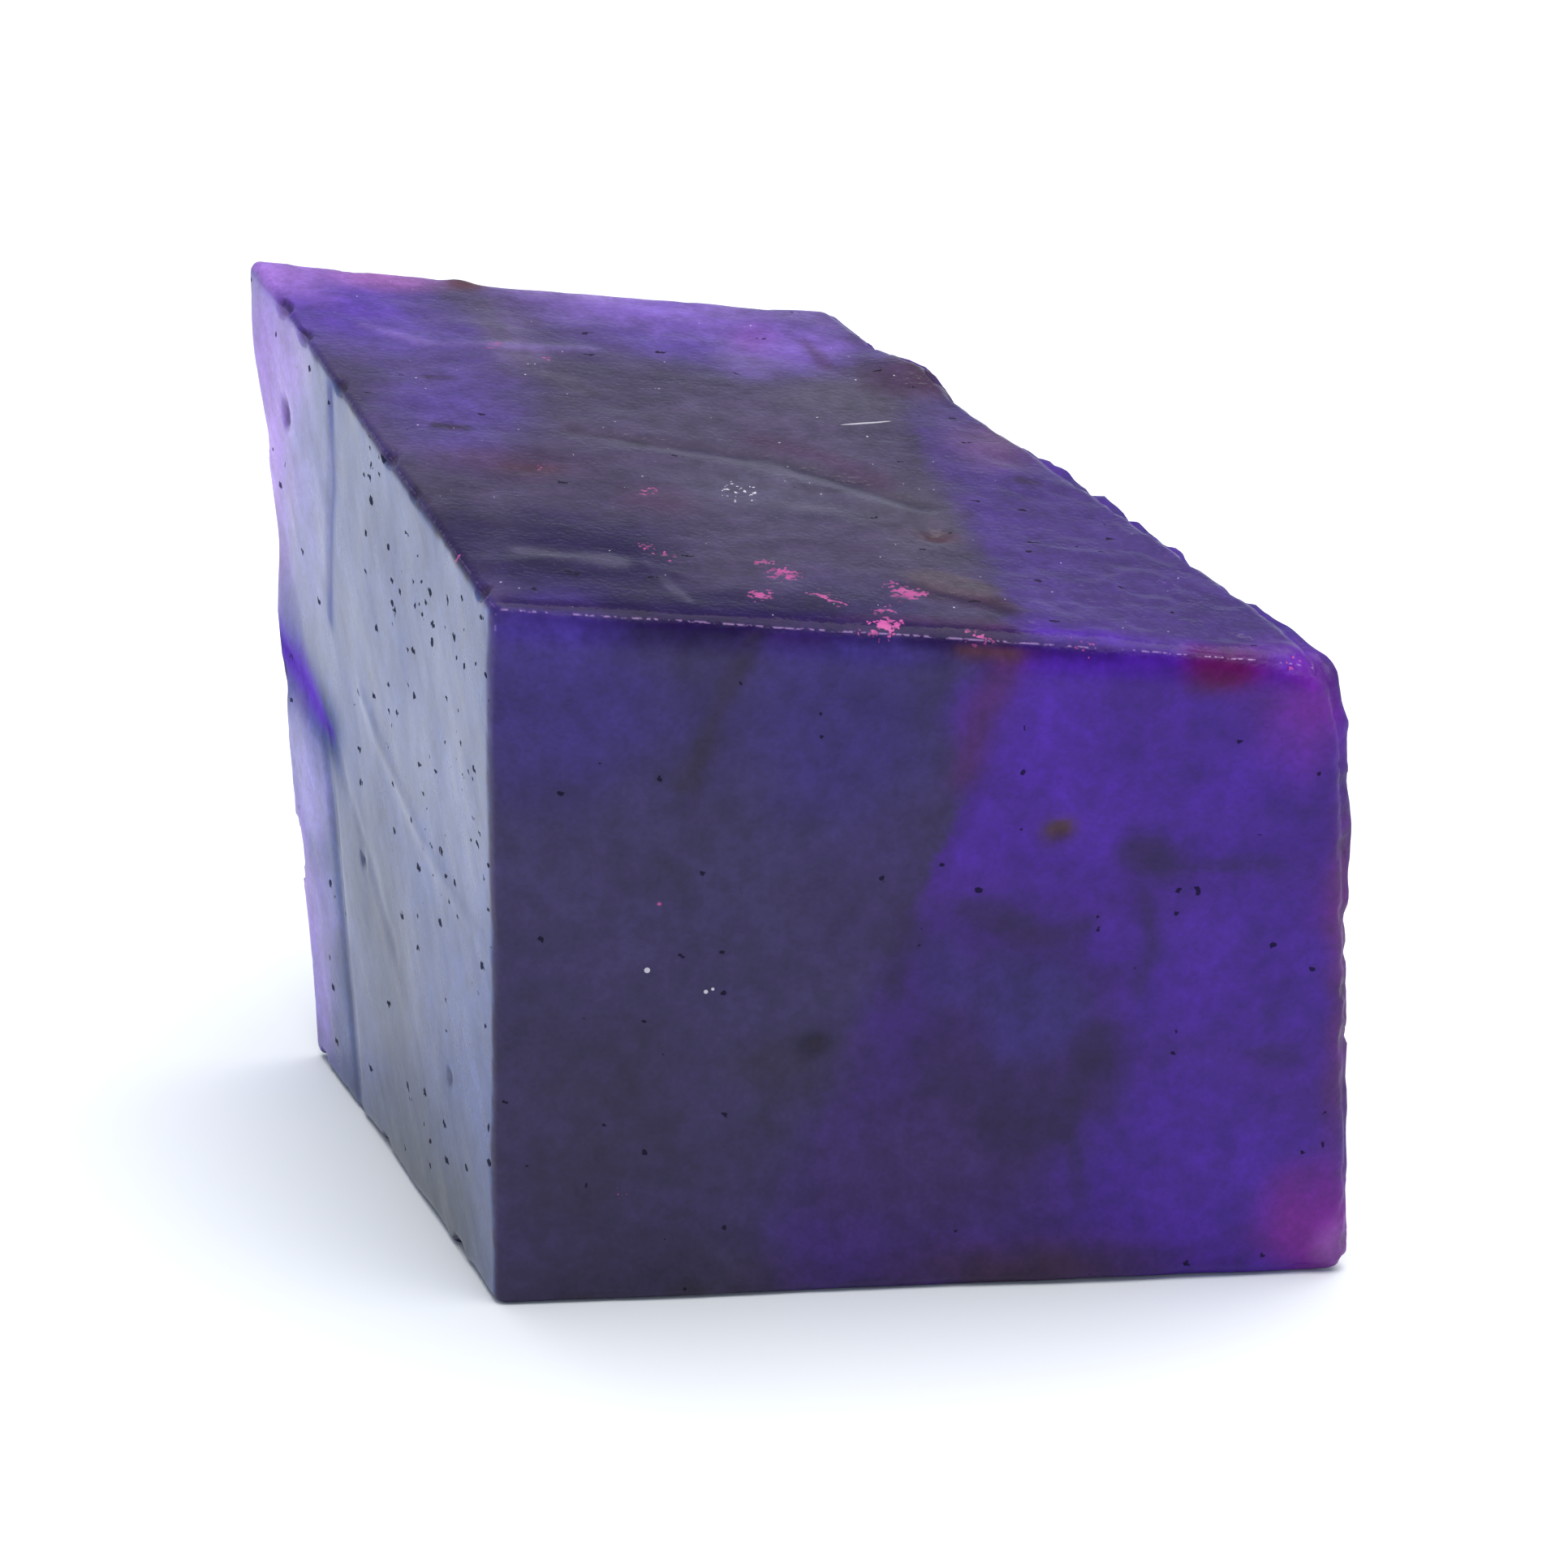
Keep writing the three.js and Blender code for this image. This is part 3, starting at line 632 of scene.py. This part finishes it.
# How the dyes are laid, and where the finish changes. Ranges are in mm, from where something starts to where
# it is full, and squarely is the share of a face from which a point is clear of the worn edges.
painting = {
    "hidden": {"right": 0.75, "back": 0.7},
    # how dark the chips and pits are painted: a painted shade in the hollows, on the faces in view and on the
    # hidden ones
    "hollows": {"seen": 0.6, "hidden": 0.18},
    "cloudRim": 1.15,
    "bends": [(3.4, 0, 1.2, 0.3), (1.3, 9, 0.5, 0.2)],  # lumps, place in the noise, most, share of reach
    "bendSeed": 1795483086,         # noise_vector goes by the clock if it is given none
    "leftFace": (0.7, 1),
    "leftEnd": {"ragged": 0.25, "length": 0.6, "fromEdge": (0.5, 0.2),
                "in": {"y": (9, 5), "z": (0.5, 1.5)}},
}
zones = {
    "squarely": (0.9, 1),
    "bruise": {"blur": 0.02, "fromEdge": (0.08, 0.01), "reach": 1},
    "milkyEdge": {"less": 0.92, "away": (1.5, 0.7)},    # between the front and the top
    "highCoat": {"z": (12.5, 19)}, "footCoat": {"z": (12.5, 3)},
    "pale": {"ragged": 0.3, "length": 2, "y": (6, 13), "less": 0.75}, "broken": {"less": 0.75},
    "spots": {  # two axes, middle, reach, range
        "sheen": ((0, 1), (-0.5, -3.6), (6, 3.6), (1.2, 0.4)),
        "cluster": ((0, 1), (-2.3, -3.7), (1, 1), (1.3, 0.6)),
        "grimy": ((0, 2), (-3, 21), (1, 1), (3.4, 1.4)),
    },
    "crowds": [  # face, how many more pits, ranges
        ("left", 0.75, {"y": (4, -6), "z": (9, 15)}),
        ("left", 0.5, {"edge": (2.4, 0.6), "z": (20, 24)}),
        ("top", 0.2, {"x": (4, 7)}),
    ],
    "crowded": {"grimy": 0.06, "edges": -2},
    "sparkle": {"cluster": 0.16, "top": -0.035, "off": -0.1},
    "drawn": {"left": (1, 0.4), "top": (0, 0.5)},   # axis along which pits are drawn out, and how far
}


def store(**layers):
    # stores a number or a vector for each point, under the name that the material reads
    for name, values in layers.items():
        kind, field = ("FLOAT", "value") if values.ndim == 1 else ("FLOAT_VECTOR", "vector")
        layer = stone.data.attributes.new(name, kind, "POINT")
        layer.data.foreach_set(field, values.astype(np.float32).ravel())


def lay(colour, cover, dye, share):
    # lays a share of a dye over what each point has; colour and cover change in place
    colour += (np.array(linear(dyes[dye])[:3]) - colour) * share[:, None]
    cover += (1 - cover) * share


def within(ranges):
    # how far each point lies inside all of the ranges, from 0 to 1
    measures = {"x": skin[:, 0], "y": skin[:, 1], "z": skin[:, 2], "edge": fromEdge}
    return math.prod(smooth(measures[name], *limits) for name, limits in ranges.items())


def inSpot(name):
    # how far each point lies inside an ellipse on two of the axes, from 0 to 1
    *ellipse, limits = zones["spots"][name]
    parts = [(skin[:, axis] - at) / reach for axis, at, reach in zip(*ellipse)]
    return smooth(np.hypot(*parts), *limits)


def paintClouds(colour, cover, shapes, bends, limit):
    for dye, amount, soft, at, reach, *turn in shapes:
        local = skin - np.array(at)
        for bend, (_, _, most, share) in zip(bends, painting["bends"]):
            local = local + bend * min(most, share * min(reach))
        if turn:
            local = local @ np.array(Euler([math.radians(a) for a in turn[0]]).to_matrix())
        away = norm(local / np.array(reach), axis=1)
        lay(colour, cover, dye, amount * limit * smooth(away, painting["cloudRim"], 1 - soft))


def layColours():
    # colour holds what the dyes give a point, and cover how far they hide the plain stone there
    noise.seed_set(painting["bendSeed"])
    bends = [np.array([noise.noise_vector(Vector(p)) for p in skin / length + place])
             for length, place, _, _ in painting["bends"]]
    colour, cover = np.zeros((len(skin), 3)), np.zeros(len(skin))
    # the left dye stops ragged, a little short of the front and top edges
    end = painting["leftEnd"]
    short = smooth(fromEdge + end["ragged"] * noiseAt(skin, end["length"], sheet["dyeEnd"]), *end["fromEdge"])
    inLeft = smooth(onFaces["left"], *painting["leftFace"]) * (1 - short * within(end["in"]))
    for face, share in painting["hidden"].items():
        lay(colour, cover, "hidden", share * onFaces[face])
    lay(colour, cover, "left", inLeft)
    paintClouds(colour, cover, clouds, bends, 1 - inLeft)
    paintClouds(colour, cover, leftClouds, bends, inLeft)
    # the chips and pits take a painted shade
    hollows, unseen = painting["hollows"], np.maximum(onFaces["right"], onFaces["back"])
    lay(colour, cover, "pitted", cut * (hollows["seen"] + (hollows["hidden"] - hollows["seen"]) * unseen))
    wander = finer["wander"]
    stray = wander["veins"] * noiseAt(skin, wander["length"], sheet["wander"])
    for face, line, dye, width, amount in veins:
        away = alongLine(face, line, skin) + stray
        lay(colour, cover, dye, amount * onFaces[face] * np.exp(-(away / width) ** 2))
    store(dye=colour / np.maximum(cover, 0.001)[:, None], dyed=cover)


def besideEdge(start, end):
    # how far along an edge of the block each point lies, as a share, and how far from it in mm
    run = corner[end] - corner[start]
    share = np.clip((skin - corner[start]) @ run / (run @ run), 0, 1)
    return share, norm(skin - corner[start] - share[:, None] * run, axis=1)


def bruises():
    zone, bruise = zones["bruise"], np.zeros(len(skin))
    blur = zone["blur"]
    for start, end, amount, (first, last) in bruised:
        share, away = besideEdge(start, end)
        covered = smooth(share, first - blur, first + blur) * smooth(share, last + blur, last - blur)
        covered *= smooth(fromEdge, *zone["fromEdge"]) * (away < zone["reach"])
        bruise = np.maximum(bruise, amount * covered)
    return bruise


def layMasks():
    finish = stoneFinish
    left, top = onFaces["left"], onFaces["top"]
    squarely = {face: smooth(share, *zones["squarely"]) for face, share in onFaces.items()}
    dulled = np.max([amount * np.exp(-(alongLine("left", line, skin) / width) ** 2) * left
                     for line, width, amount in dull], axis=0)
    rough = np.full(len(skin), finish["matt"])
    shares = {"left": left, "top": top, "right": onFaces["right"], "chip": cut, "dull": dulled}
    for name, share in shares.items():
        rough += (finish[name + "Roughness"] - rough) * share
    pale, edge = zones["pale"], zones["milkyEdge"]
    paleShare = smooth(skin[:, 1] + pale["ragged"] * noiseAt(skin, pale["length"], sheet["pale"]), *pale["y"])
    coat = finish["coatLow"] + (finish["coatLeft"] - finish["coatLow"]) * within(zones["highCoat"])
    coat += finish["coatFoot"] * within(zones["footCoat"])
    coat *= left * (1 - pale["less"] * paleShare) * (1 - zones["broken"]["less"] * broken) * (1 - dulled)
    atEdge = smooth(besideEdge("leftFrontTop", "rightFrontTop")[1], *edge["away"])
    crowd = sum(more * squarely[face] * within(ranges) for face, more, ranges in zones["crowds"])
    crowd += zones["crowded"]["grimy"] * onFaces["front"] * inSpot("grimy")
    crowd += zones["crowded"]["edges"] * (left + top - squarely["left"] - squarely["top"])
    sparkle = zones["sparkle"]
    stretch = np.ones((len(skin), 3))
    for face, (axis, share) in zones["drawn"].items():
        stretch[:, axis] -= share * onFaces[face]
    flakes = [norm(skin - onFace(face, first, second), axis=1) - radius
              for face, spots in marks["pinkFlakes"].items() for first, second, radius in spots]
    store(
        left=left, top=top, rough=rough, bruise=bruises(), pitted=crowd, stretch=stretch,
        clear=finish["transmission"] * (1 - edge["less"] * atEdge),
        coat=coat + finish["coatTop"] * top * inSpot("sheen"),
        pinkFlakes=np.min(flakes, axis=0),
        streaky=sum(finish["streaks"][face]["height"] * squarely[face] for face in ("left", "top")),
        sparkle=sparkle["cluster"] * inSpot("cluster") + sparkle["top"] + sparkle["off"] * (1 - top),
    )


stoneFinish = {
    "slate": "#382d5e", "violet": "#431688", "topSlate": "#453a59", "topViolet": "#442e74",
    # pit is a painted shade for the pits
    "flake": "#bc5496", "grain": "#d8d4de", "pit": "#08031c", "bruise": "#b490c8", "absorb": "#a868e0",
    "ior": 1.69, "specularLevel": 0.06, "transmission": 0.25, "absorbPerMetre": 800,
    "matt": 0.4, "leftRoughness": 0.3, "topRoughness": 0.3, "rightRoughness": 0.5, "chipRoughness": 0.36,
    "dullRoughness": 0.9, "roughnessSway": 0.08, "coatRoughness": 0.2,
    "coatLeft": 0.47, "coatLow": 0.31, "coatFoot": 0.09, "coatTop": 0.26,
    "noises": {  # lumps per mm, detail, how far it sways the boundary in mm, the least and the most shade
        "milk": (0.33, 2, 1.6, 0.8, 1.2), "curd": (1.3, 2, 0.7, 0.86, 1.16),
        "fine": (4.5, 1, 0.2, 0.9, 1.1),
    },
    "noiseRange": (0.3, 0.7), "grainHeights": (0.03, 0.004),    # elsewhere and on the left, in mm
    "boundary": {"across": (1, 0.169, -0.36), "at": -3.4,
                 "z": (5, 17), "width": (2.2, 0.3), "onTop": 0.6},
    "pits": {"perMm": 1.4, "luck": 0.88, "ragged": 0.5, "chance": (0.6, 1), "size": (0.3, 0.38),
             "largerLeft": 0.07, "share": 0.85},
    "flakes": {"ragged": 1.9, "rim": (0.86, 0.74), "curd": (0.4, 0.58), "fresh": (0.3, 1)},
    "bruises": (0.48, 0.58), "specksAbove": 0.77, "scratchShare": 0.9,
    "streaks": {  # their length in X, Y and Z in mm, turn in degrees, height in mm
        "top": {"length": (3.4, 0.8, 1), "turn": (0, 0, -8), "height": 0.02},
        "left": {"length": (2, 1, 9), "turn": (-38, 0, 0), "height": 0.015},
    },
    "streakRange": (0.2, 0.8),
}


def makeTanzanite():
    # Raw tanzanite, sawn and left matt: a milky violet stone that is slate grey left of an inner
    # boundary and vivid violet right of it. Its sawn left side is smooth enough to mirror the pale room.
    finish = stoneFinish
    material = bpy.data.materials.new("raw_tanzanite_sawn_matt")
    material.use_nodes = True
    tree = material.node_tree
    add = partial(addNode, tree)
    inMetres = add("TexCoord", {}, "Object")
    inputs = {0: inMetres, 1: (1 / mm, 1 / mm, 1 / mm), 2: tuple(stoneShift)}
    at = add("VectorMath", inputs, operation="MULTIPLY_ADD")
    masks = ("left", "top", "dyed", "rough", "clear", "pinkFlakes",
             "bruise", "coat", "streaky", "pitted", "sparkle")
    mask = {name: add("Attribute", {}, "Fac", attribute_name=name) for name in masks}
    dye = add("Attribute", {}, "Color", attribute_name="dye")
    stretch = add("Attribute", {}, "Vector", attribute_name="stretch")

    # milk makes clouds of 3 mm, curd lumps of 0.8 mm in them, and fine a grain of 0.2 mm
    cloudy = {}
    for name, (perMm, detail, *_) in finish["noises"].items():
        inputs = {"Vector": at, "Scale": perMm, "Detail": detail, "Roughness": 0.6}
        cloudy[name] = add("TexNoise", inputs, "Fac")

    # the inner boundary leans back; it is sharp above 15 mm and melts away below
    boundary = finish["boundary"]
    across = add("VectorMath", {0: at, 1: boundary["across"]}, "Value", operation="DOT_PRODUCT")
    for name, (_, _, sway, _, _) in finish["noises"].items():
        across = add("Math", {0: cloudy[name], 1: sway, 2: across}, operation="MULTIPLY_ADD")
    height = add("SeparateXYZ", {0: at}, "Z")
    inputs = {"Value": height, fromEnds: boundary["z"], toEnds: boundary["width"]}
    inputs = {0: mask["top"], 1: boundary["onTop"], 2: add("MapRange", inputs)}
    width = add("Math", inputs, operation="MULTIPLY_ADD")
    past = add("Math", {0: across, 1: boundary["at"]}, operation="SUBTRACT")
    past = add("Math", {0: past, 1: width}, operation="DIVIDE")
    past = add("MapRange", {"Value": past, fromEnds: (-1, 1)}, interpolation_type="SMOOTHSTEP")
    plain = []
    for first, second in (("slate", "violet"), ("topSlate", "topViolet")):
        inputs = {"Factor": past, "A": linear(finish[first]), "B": linear(finish[second])}
        plain.append(add("Mix", inputs, 2, data_type="RGBA"))
    colour = plain[0]
    for share, paint in ((mask["top"], plain[1]), (mask["dyed"], dye)):
        colour = add("Mix", {"Factor": share, "A": colour, "B": paint}, 2, data_type="RGBA")
    for name, (_, _, _, least, most) in finish["noises"].items():
        inputs = {"Value": cloudy[name], fromEnds: finish["noiseRange"], toEnds: (least, most)}
        colour = add("VectorMath", {0: colour, "Scale": add("MapRange", inputs)}, operation="SCALE")

    # pits: one in eight cells of 0.7 mm holds one, and the saw drew them out
    pits = finish["pits"]
    drawn = add("VectorMath", {0: at, 1: stretch}, operation="MULTIPLY")
    cell = add("TexVoronoi", {"Vector": drawn, "Scale": pits["perMm"]}, "Color")
    chance = add("SeparateColor", {0: cell})
    luck = add("Math", {0: chance, 1: mask["pitted"]}, operation="ADD")
    lucky = add("Math", {0: luck, 1: pits["luck"]}, operation="GREATER_THAN")
    inputs = {0: cloudy["fine"], 1: pits["ragged"], 2: cell.node.outputs["Distance"]}
    away = add("Math", inputs, operation="MULTIPLY_ADD")
    inputs = {"Value": chance, fromEnds: pits["chance"], toEnds: pits["size"]}
    inputs = {0: mask["left"], 1: pits["largerLeft"], 2: add("MapRange", inputs)}
    size = add("Math", inputs, operation="MULTIPLY_ADD")
    inPit = add("Math", {0: away, 1: size}, operation="LESS_THAN")
    pit = add("Math", {0: lucky, 1: inPit}, operation="MULTIPLY")
    pitShare = add("Math", {0: pit, 1: pits["share"]}, operation="MULTIPLY")

    # pink flakes with ragged rims lie on the top
    flakes = finish["flakes"]
    inputs = {0: cloudy["fine"], 1: flakes["ragged"], 2: mask["pinkFlakes"]}
    away = add("Math", inputs, operation="MULTIPLY_ADD")
    flaky = add("MapRange", {"Value": away, fromEnds: flakes["rim"]})
    inputs = {"Value": cloudy["curd"], fromEnds: flakes["curd"], toEnds: flakes["fresh"]}
    flaky = add("Math", {0: flaky, 1: add("MapRange", inputs)}, operation="MULTIPLY")
    # battered specks along the worn edges, with painted glints
    specks = add("MapRange", {"Value": cloudy["fine"], fromEnds: finish["bruises"]})
    bruise = add("Math", {0: specks, 1: mask["bruise"]}, operation="MULTIPLY")
    # bright specks are the tips of the fine noise, and a few bright grains lie among them
    specks = add("Math", {0: cloudy["fine"], 1: mask["sparkle"]}, operation="ADD")
    bright = add("Math", {0: specks, 1: finish["specksAbove"]}, operation="GREATER_THAN")
    for face, first, second, radius in marks["grains"]:
        away = add("VectorMath", {0: at, 1: onFace(face, first, second)}, "Value", operation="DISTANCE")
        near = add("Math", {0: away, 1: radius}, operation="LESS_THAN")
        bright = add("Math", {0: bright, 1: near}, operation="MAXIMUM")
    # a scratch across the top is a thin ellipse round its two ends
    face, start, end, width = marks["scratch"]
    ends = [Vector(onFace(face, *place)) for place in (start, end)]
    length = (ends[1] - ends[0]).length
    away = [add("VectorMath", {0: at, 1: place}, "Value", operation="DISTANCE") for place in ends]
    both = add("Math", {0: away[0], 1: away[1]}, operation="ADD")
    inputs = {"Value": both, fromEnds: (length + 2 * width * width / length, length),
              "To Max": finish["scratchShare"]}
    bright = add("Math", {0: bright, 1: add("MapRange", inputs)}, operation="MAXIMUM")
    # the pits take a painted shade, near black
    for share, name in ((pitShare, "pit"), (flaky, "flake"), (bruise, "bruise"), (bright, "grain")):
        colour = add("Mix", {"Factor": share, "A": colour, "B": linear(finish[name])}, 2, data_type="RGBA")

    # saw streaks run along X on the top, and down and forward on the left
    along = []
    for face in ("top", "left"):
        streaks = finish["streaks"][face]
        turn = [math.radians(degrees) for degrees in streaks["turn"]]
        inputs = {"Vector": at, "Scale": streaks["length"], "Rotation": turn}
        along.append(add("Mapping", inputs, vector_type="TEXTURE"))
    along = add("Mix", {"Factor": mask["left"], "A": along[0], "B": along[1]}, 1, data_type="VECTOR")
    streak = add("TexNoise", {"Vector": along, "Scale": 1, "Detail": 2}, "Fac")
    sway = finish["roughnessSway"]
    inputs = {"Value": streak, fromEnds: finish["streakRange"], toEnds: (-sway, sway)}
    rough = add("Math", {0: mask["rough"], 1: add("MapRange", inputs)}, operation="ADD")
    rough = add("Mix", {"Factor": pit, "A": rough, "B": finish["dullRoughness"]})

    # height in mm: fine grain everywhere, streaks on two faces
    grainy = add("MapRange", {"Value": mask["left"], toEnds: finish["grainHeights"]})
    high = add("Math", {0: cloudy["fine"], 1: grainy}, operation="MULTIPLY")
    high = add("Math", {0: streak, 1: mask["streaky"], 2: high}, operation="MULTIPLY_ADD")
    bump = add("Bump", {"Strength": 1, "Distance": mm, "Height": high})

    # no gloss in the pits
    shiny = add("MapRange", {"Value": pit, toEnds: (1, 0)})
    coat = add("Math", {0: mask["coat"], 1: shiny}, operation="MULTIPLY")
    feed(tree, tree.nodes["Principled BSDF"], {
        "Base Color": colour, "Roughness": rough, "Normal": bump, "Coat Weight": coat,
        "Coat Roughness": finish["coatRoughness"], "Transmission Weight": mask["clear"],
        "IOR": finish["ior"], "Specular IOR Level": finish["specularLevel"],
    })
    absorb = add("VolumeAbsorption", {"Color": linear(finish["absorb"]), "Density": finish["absorbPerMetre"]})
    feed(tree, tree.nodes["Material Output"], {"Volume": absorb})
    return material


layColours()
layMasks()
print("colours and masks laid")
stone.data.materials.append(makeTanzanite())
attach(stone, "root")
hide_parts("tanzanite_block")
print("stone dressed")

# Floor: white card that runs on past the frame.
card = {"half": 2, "colour": "#f0f4f8", "roughness": 0.9, "specularLevel": 0.1}
half = card["half"]
floorMesh = bpy.data.meshes.new("floor")
corners = [(-half, -half, 0), (half, -half, 0), (half, half, 0), (-half, half, 0)]
floorMesh.from_pydata(corners, [], [(0, 1, 2, 3)])
floor = addObject("floor", floorMesh)
whiteCard = bpy.data.materials.new("white_card")
whiteCard.use_nodes = True
feed(whiteCard.node_tree, whiteCard.node_tree.nodes["Principled BSDF"], {
    "Base Color": linear(card["colour"]), "Roughness": card["roughness"],
    "Specular IOR Level": card["specularLevel"],
})
floorMesh.materials.append(whiteCard)

# Studio: a soft box above and a pale room that is brighter round the horizon than overhead.
studio = {
    "boxSize": 0.8, "boxHeight": 0.75, "boxOffset": (0.12, 0.05), "boxPower": 9, "boxColour": "#fffcf8",
    "horizon": "#e2eeff", "overhead": "#d8e4f8", "horizonStrength": 0.85, "overheadStrength": 0.37,
    "rise": (0.1, 0.6),             # how high above the horizon the room starts to dim, and has dimmed
}
boxLight = bpy.data.lights.new("softBox", "AREA")
boxLight.shape = "SQUARE"
boxLight.size = studio["boxSize"]
boxLight.energy = studio["boxPower"]
boxLight.color = linear(studio["boxColour"])[:3]
softBox = addObject("softBox", boxLight)
softBox.location = (*studio["boxOffset"], studio["boxHeight"])

world = bpy.data.worlds.new("studio")
world.use_nodes = True
air = world.node_tree
direction = addNode(air, "TexCoord", {}, "Generated")
upward = addNode(air, "SeparateXYZ", {0: direction}, "Z")
rise = addNode(air, "MapRange", {"Value": upward, fromEnds: studio["rise"]}, interpolation_type="SMOOTHSTEP")
glow = {name: [c * studio[name + "Strength"] for c in linear(studio[name])[:3]] + [1]
        for name in ("horizon", "overhead")}
sky = addNode(air, "Mix", {"Factor": rise, "A": glow["horizon"], "B": glow["overhead"]}, 2, data_type="RGBA")
feed(air, air.nodes["Background"], {"Color": sky})
scene.world = world

# Camera: degrees and mm.
view = {
    "azimuth": 4.674, "elevation": 21.183, "distance": 188.8, "target": (0.44, 2.85, 13.21),
    "lens": 110, "sensor": 36, "nearest": 10,
}
azimuth, elevation = math.radians(view["azimuth"]), math.radians(view["elevation"])
level = math.cos(elevation)
forward = Vector((math.sin(azimuth) * level, math.cos(azimuth) * level, -math.sin(elevation)))
cameraData = bpy.data.cameras.new("camera")
cameraData.lens = view["lens"]
cameraData.sensor_width = view["sensor"]
cameraData.clip_start = view["nearest"] * mm
camera = addObject("camera", cameraData)
camera.location = (Vector(view["target"]) - forward * view["distance"]) * mm
camera.rotation_euler = forward.to_track_quat("-Z", "Y").to_euler()
scene.camera = camera
scene.view_settings.view_transform = "Standard"
print("floor, studio and camera set")
